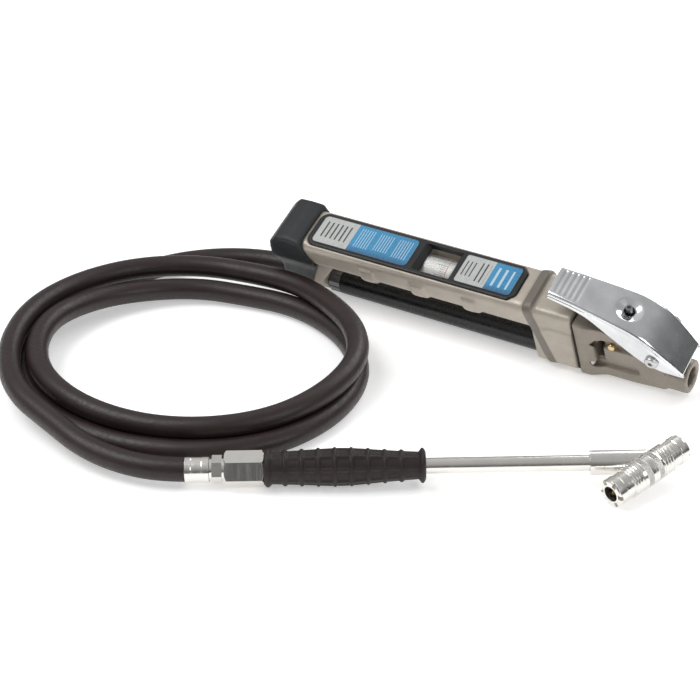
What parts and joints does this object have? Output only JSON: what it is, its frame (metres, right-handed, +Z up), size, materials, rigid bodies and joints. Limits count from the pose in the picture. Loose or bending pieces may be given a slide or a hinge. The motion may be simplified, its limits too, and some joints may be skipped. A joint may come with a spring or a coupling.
{
  "type": "portable tire inflator",
  "caption": "Hand-held airline tyre inflator: cast handle with drum gauge and chrome lever, coiled rubber hose and a ribbed-grip wand with a twin tyre connector.",
  "frame": {"origin": "centre of the bounding box's bottom face, measured over the handle and the wand without the hose", "axes": "+X along the handle from its rear boot to the air inlet, +Z up off the floor, +Y to the handle's far side"},
  "size_m": [0.3985, 0.2567, 0.0679],
  "materials": {
    "cast_handle": "warm silver die casting, fine cast grain, satin",
    "cast_head": "darker warm grey die casting, fine cast grain, satin",
    "cover_black": "black moulding, semi-gloss",
    "label_silver": "printed label, silver and blue, satin",
    "lens_clear": "clear, glossy",
    "drum_white": "white with fine graduations",
    "steel": "bright steel, satin",
    "steel_dark": "dark zinc-plated steel, satin",
    "brass": "turned brass, satin",
    "piston_plastic": "natural acetal, matte",
    "seal_rubber": "black nitrile, matte",
    "tube_black": "black painted tube, semi-gloss",
    "boot_charcoal": "charcoal moulding, satin",
    "lever_chrome": "chrome-plated pressed steel, bright",
    "nickel": "bright nickel plate, turned",
    "grip_rubber": "brown-black moulded rubber, satin",
    "hose_rubber": "brown-black hose with a fine texture, low sheen"
  },
  "bodies": {
    "inflator": {"bleed_screw": "brass", "connector_body": "nickel", "connector_cap_lower": "nickel", "connector_cap_upper": "nickel", "connector_seal_lower": "seal_rubber", "connector_seal_upper": "seal_rubber", "connector_spring_lower": "steel", "connector_spring_upper": "steel", "deflate_valve_plug": "brass", "deflate_valve_spring": "steel", "drum_front_bush": "brass", "drum_rear_bush": "brass", "front_label": "label_silver", "gauge_barrel": "brass", "gauge_cover": "cover_black", "gauge_lens": "lens_clear", "gauge_spring": "steel", "grip": "grip_rubber", "handle_casting": "cast_handle", "head_bolts": "steel", "head_gasket": "seal_rubber", "head_socket": "nickel", "hose_body_run": "hose_rubber", "hose_coil": "hose_rubber", "hose_ferrule": "nickel", "hose_tail": "nickel", "hose_wand_run": "hose_rubber", "inflate_valve_plug": "brass", "inflate_valve_seat": "brass", "inflate_valve_spring": "steel", "inlet_filter": "brass", "lever_pivot_nut": "steel", "lever_pivot_screw": "steel", "outlet_tube": "tube_black", "outlet_tube_nut": "steel_dark", "outlet_tube_seals": "seal_rubber", "rear_boot": "boot_charcoal", "rear_hose_nipple": "brass", "rear_label": "label_silver", "union_nut": "nickel", "valve_body": "cast_head", "wand_tube": "nickel"},
    "lever": {"lever": "lever_chrome", "lever_adjusting_screw": "steel_dark", "adjusting_locknut": "steel_dark"},
    "inflate_valve": {"inflate_valve_stem": "brass"},
    "deflate_valve": {"deflate_valve_stem": "brass"},
    "gauge_piston": {"gauge_piston": "piston_plastic", "piston_seal": "seal_rubber"},
    "gauge_drum": {"gauge_drum": "drum_white", "drum_spindle": "steel"},
    "plunger_lower": {"connector_plunger_lower": "brass"},
    "plunger_upper": {"connector_plunger_upper": "brass"}
  },
  "joints": [
    {"name": "lever_press", "type": "hinge", "parent": "inflator", "child": "lever", "pos_m": [0.101, 0.09703, 0.03435], "axis": [0, -0.9088, -0.4172], "range_deg": [0, 6.5], "stiffness_Nm_per_rad": 2, "springref_deg": -11.46},
    {"name": "inflate_stroke", "type": "slide", "parent": "inflator", "child": "inflate_valve", "axis": [0, 0.4172, -0.9088], "range_m": [0, 0.0021], "deforming": ["inflate_valve_spring"]},
    {"name": "deflate_stroke", "type": "slide", "parent": "inflator", "child": "deflate_valve", "axis": [0, 0.4172, -0.9088], "range_m": [0, 0.0026], "deforming": ["deflate_valve_spring"]},
    {"name": "gauge_stroke", "type": "slide", "parent": "inflator", "child": "gauge_piston", "axis": [-1, 0, 0], "range_m": [0, 0.019], "stiffness_N_per_m": 120, "springref_m": -0.004, "deforming": ["gauge_spring"]},
    {"name": "drum_turn", "type": "hinge", "parent": "inflator", "child": "gauge_drum", "pos_m": [-0.033, 0.09432, 0.04026], "axis": [1, 0, 0], "range_deg": [0, 302]},
    {"name": "plunger_lower_stroke", "type": "slide", "parent": "inflator", "child": "plunger_lower", "axis": [0.3211, 0.9374, 0.1348], "range_m": [0, 0.0014], "stiffness_N_per_m": 300, "springref_m": -0.002, "deforming": ["connector_spring_lower"]},
    {"name": "plunger_upper_stroke", "type": "slide", "parent": "inflator", "child": "plunger_upper", "axis": [-0.3211, -0.9374, -0.1348], "range_m": [0, 0.0014], "stiffness_N_per_m": 300, "springref_m": -0.002, "deforming": ["connector_spring_upper"]}
  ],
  "couplings": [
    {"joint": "inflate_stroke", "follows": "lever_press", "m_per_rad": 0.0175},
    {"joint": "deflate_stroke", "follows": "lever_press", "m_per_rad": 0.0225},
    {"joint": "drum_turn", "follows": "gauge_stroke", "rad_per_m": 276}
  ]
}
